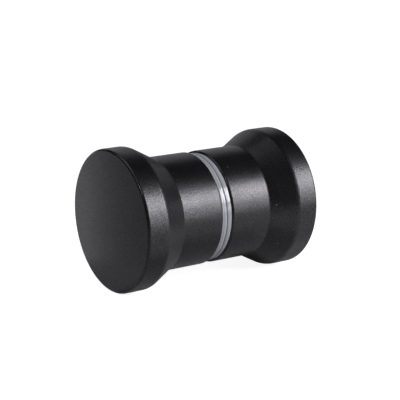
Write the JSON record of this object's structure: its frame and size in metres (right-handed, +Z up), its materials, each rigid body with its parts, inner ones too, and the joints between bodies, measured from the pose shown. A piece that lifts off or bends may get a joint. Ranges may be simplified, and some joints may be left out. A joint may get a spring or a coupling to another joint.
{
  "type": "shower door handle",
  "caption": "Back-to-back round knob for a glass shower door: flat flared heads on straight necks, with clear gaskets that clamp the pane around a hole.",
  "frame": {"origin": "centre of the plane where the two gaskets meet, on the common axis of the knobs", "axes": "+Y along the common axis towards the rear knob's flat face, -Y towards the front knob's flat face, +Z up as on a hung door"},
  "size_m": [0.03, 0.0424, 0.03],
  "materials": {
    "matte_black_coat": "fine grained matte black coat on turned metal",
    "clear_soft_plastic": "clear soft plastic, slightly milky, smooth",
    "screw_steel": "plain stainless steel, rolled thread",
    "natural_nylon": "natural milky plastic, satin"
  },
  "bodies": {
    "root": {"front_knob": "matte_black_coat", "rear_knob": "matte_black_coat", "front_gasket": "clear_soft_plastic", "rear_gasket": "clear_soft_plastic", "clamp_stud": "screw_steel", "glass_hole_sleeve": "natural_nylon"}
  },
  "joints": []
}
